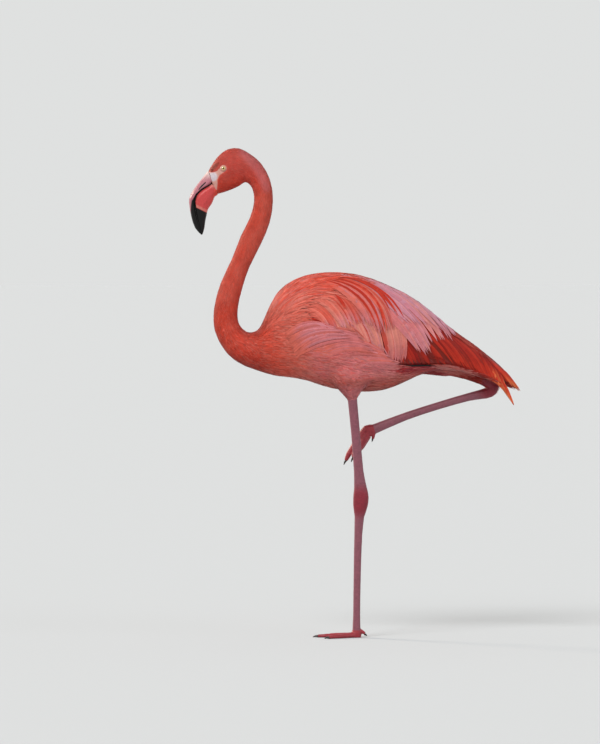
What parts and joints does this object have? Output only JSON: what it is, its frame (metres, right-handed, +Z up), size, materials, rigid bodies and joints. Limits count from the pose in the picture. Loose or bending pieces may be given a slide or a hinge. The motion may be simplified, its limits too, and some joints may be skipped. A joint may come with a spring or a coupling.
{
  "type": "american flamingo",
  "caption": "Life-size flamingo standing on one straight leg, the other drawn up behind, neck in an S-curve and bill bent down.",
  "frame": {"origin": "under the sole of the standing (left) foot, on the floor, in the bird's mid-plane", "axes": "+Z up, -X the way the bird faces, +Y towards its right side"},
  "size_m": [0.6973, 0.1638, 1.0291],
  "materials": {
    "plumage_neck": "matte",
    "plumage_body": "matte",
    "plumage_wing": "matte",
    "plumage_tail": "matte",
    "leg_skin": "satin",
    "bill": "satin",
    "claw": "satin",
    "eye": "gloss"
  },
  "bodies": {
    "root": {"head": "plumage_neck", "neck_upper": "plumage_neck", "neck_middle": "plumage_neck", "neck_lower": "plumage_neck", "trunk": "plumage_body", "wing_left": "plumage_wing", "wing_right": "plumage_wing", "tail": "plumage_tail", "thigh_left": "plumage_body", "thigh_right": "plumage_body", "eye_left": "eye", "eye_right": "eye", "bill_upper": "bill", "bill_lower": "bill", "tibia_left": "leg_skin", "ankle_left": "leg_skin", "tarsus_left": "leg_skin", "foot_left": "leg_skin", "hallux_left": "leg_skin", "tibia_right": "leg_skin", "ankle_right": "leg_skin", "tarsus_right": "leg_skin", "foot_right": "leg_skin", "hallux_right": "leg_skin", "claw_left_inner": "claw", "claw_left_middle": "claw", "claw_left_outer": "claw", "claw_left_hallux": "claw", "claw_right_inner": "claw", "claw_right_middle": "claw", "claw_right_outer": "claw", "claw_right_hallux": "claw"}
  },
  "joints": []
}
